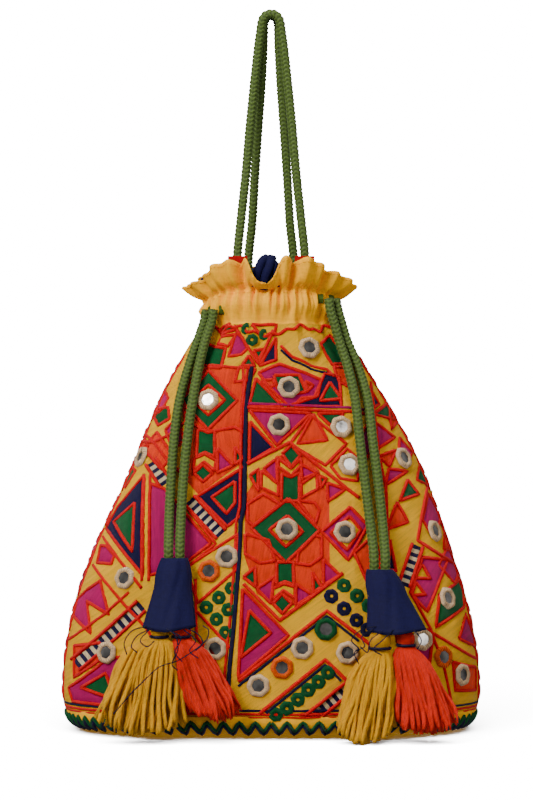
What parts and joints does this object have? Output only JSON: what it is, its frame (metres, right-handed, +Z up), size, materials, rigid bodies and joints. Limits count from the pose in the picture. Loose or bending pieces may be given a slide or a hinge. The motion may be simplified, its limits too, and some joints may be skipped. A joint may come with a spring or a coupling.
{
  "type": "potli bag",
  "caption": "Drawstring pouch bag with a wide rounded base, gathered frilled neck, two cord handle loops and drawcords that end in tasselled caps.",
  "frame": {"origin": "where the two handle loops rest on what they hang from, above the middle of the bag", "axes": "+Z up, the bag's front faces -Y, +X to the right seen from the front"},
  "size_m": [0.3, 0.1907, 0.5203],
  "materials": {
    "embroidered_cloth": "cotton covered in coloured satin stitch and mirror work",
    "yellow_cloth": "plain woven golden-yellow cloth",
    "navy_cloth": "plain navy cotton",
    "red_cloth": "plain red cotton",
    "green_cord": "round braided olive-green cord",
    "rickrack_braid": "woven zigzag braid",
    "mirror_glass": "small hand-cut shisha mirrors",
    "yellow_yarn": "twisted yellow acrylic yarn",
    "orange_yarn": "twisted orange acrylic yarn",
    "navy_thread": "navy sewing thread"
  },
  "bodies": {
    "bag": {"embroidered_body": "embroidered_cloth", "base_band": "yellow_cloth", "rickrack_trim": "rickrack_braid", "base_panel": "embroidered_cloth", "neck_band": "yellow_cloth", "lining": "navy_cloth", "left_handle_tab": "red_cloth", "right_handle_tab": "red_cloth", "front_handle": "green_cord", "rear_handle": "green_cord", "left_drawcord_run": "green_cord", "right_drawcord_run": "green_cord", "front_mirror_01": "mirror_glass", "front_mirror_02": "mirror_glass", "front_mirror_03": "mirror_glass", "front_mirror_04": "mirror_glass", "front_mirror_05": "mirror_glass", "front_mirror_06": "mirror_glass", "front_mirror_07": "mirror_glass", "front_mirror_08": "mirror_glass", "front_mirror_09": "mirror_glass", "front_mirror_10": "mirror_glass", "front_mirror_11": "mirror_glass", "front_mirror_12": "mirror_glass", "front_mirror_13": "mirror_glass", "front_mirror_14": "mirror_glass", "front_mirror_15": "mirror_glass", "front_mirror_16": "mirror_glass", "front_mirror_17": "mirror_glass", "front_mirror_18": "mirror_glass", "front_mirror_19": "mirror_glass", "front_mirror_20": "mirror_glass", "front_mirror_21": "mirror_glass", "front_mirror_22": "mirror_glass", "front_mirror_23": "mirror_glass", "front_mirror_24": "mirror_glass", "front_mirror_25": "mirror_glass", "back_mirror_01": "mirror_glass", "back_mirror_02": "mirror_glass", "back_mirror_03": "mirror_glass", "back_mirror_04": "mirror_glass", "back_mirror_05": "mirror_glass", "back_mirror_06": "mirror_glass", "back_mirror_07": "mirror_glass", "back_mirror_08": "mirror_glass", "back_mirror_09": "mirror_glass"},
    "left_drop": {"left_front_strand": "green_cord", "left_rear_strand": "green_cord", "left_cap": "navy_cloth"},
    "right_drop": {"right_front_strand": "green_cord", "right_rear_strand": "green_cord", "right_cap": "navy_cloth"},
    "left_yellow_tassel": {"left_yellow_tassel": "yellow_yarn", "left_yellow_tie": "navy_thread"},
    "left_orange_tassel": {"left_orange_tassel": "orange_yarn", "left_orange_tie": "navy_thread"},
    "right_yellow_tassel": {"right_yellow_tassel": "yellow_yarn", "right_yellow_tie": "navy_thread"},
    "right_orange_tassel": {"right_orange_tassel": "orange_yarn", "right_orange_tie": "navy_thread"}
  },
  "joints": [
    {"name": "left_drop_swing", "type": "hinge", "parent": "bag", "child": "left_drop", "pos_m": [-0.04381, -0.02577, -0.2105], "axis": [-0.6628, 0.7488, 0], "range_deg": [0, 45]},
    {"name": "right_drop_swing", "type": "hinge", "parent": "bag", "child": "right_drop", "pos_m": [0.04381, -0.02577, -0.2027], "axis": [-0.6628, -0.7488, 0], "range_deg": [0, 45]},
    {"name": "left_yellow_swing", "type": "hinge", "parent": "left_drop", "child": "left_yellow_tassel", "pos_m": [-0.0775, -0.0955, -0.4345], "axis": [-1, 0, 0], "range_deg": [0, 40]},
    {"name": "left_orange_swing", "type": "hinge", "parent": "left_drop", "child": "left_orange_tassel", "pos_m": [-0.0625, -0.0955, -0.4345], "axis": [-1, 0, 0], "range_deg": [0, 40]},
    {"name": "right_yellow_swing", "type": "hinge", "parent": "right_drop", "child": "right_yellow_tassel", "pos_m": [0.075, -0.0955, -0.441], "axis": [-1, 0, 0], "range_deg": [0, 40]},
    {"name": "right_orange_swing", "type": "hinge", "parent": "right_drop", "child": "right_orange_tassel", "pos_m": [0.093, -0.0955, -0.44], "axis": [-1, 0, 0], "range_deg": [0, 40]}
  ]
}
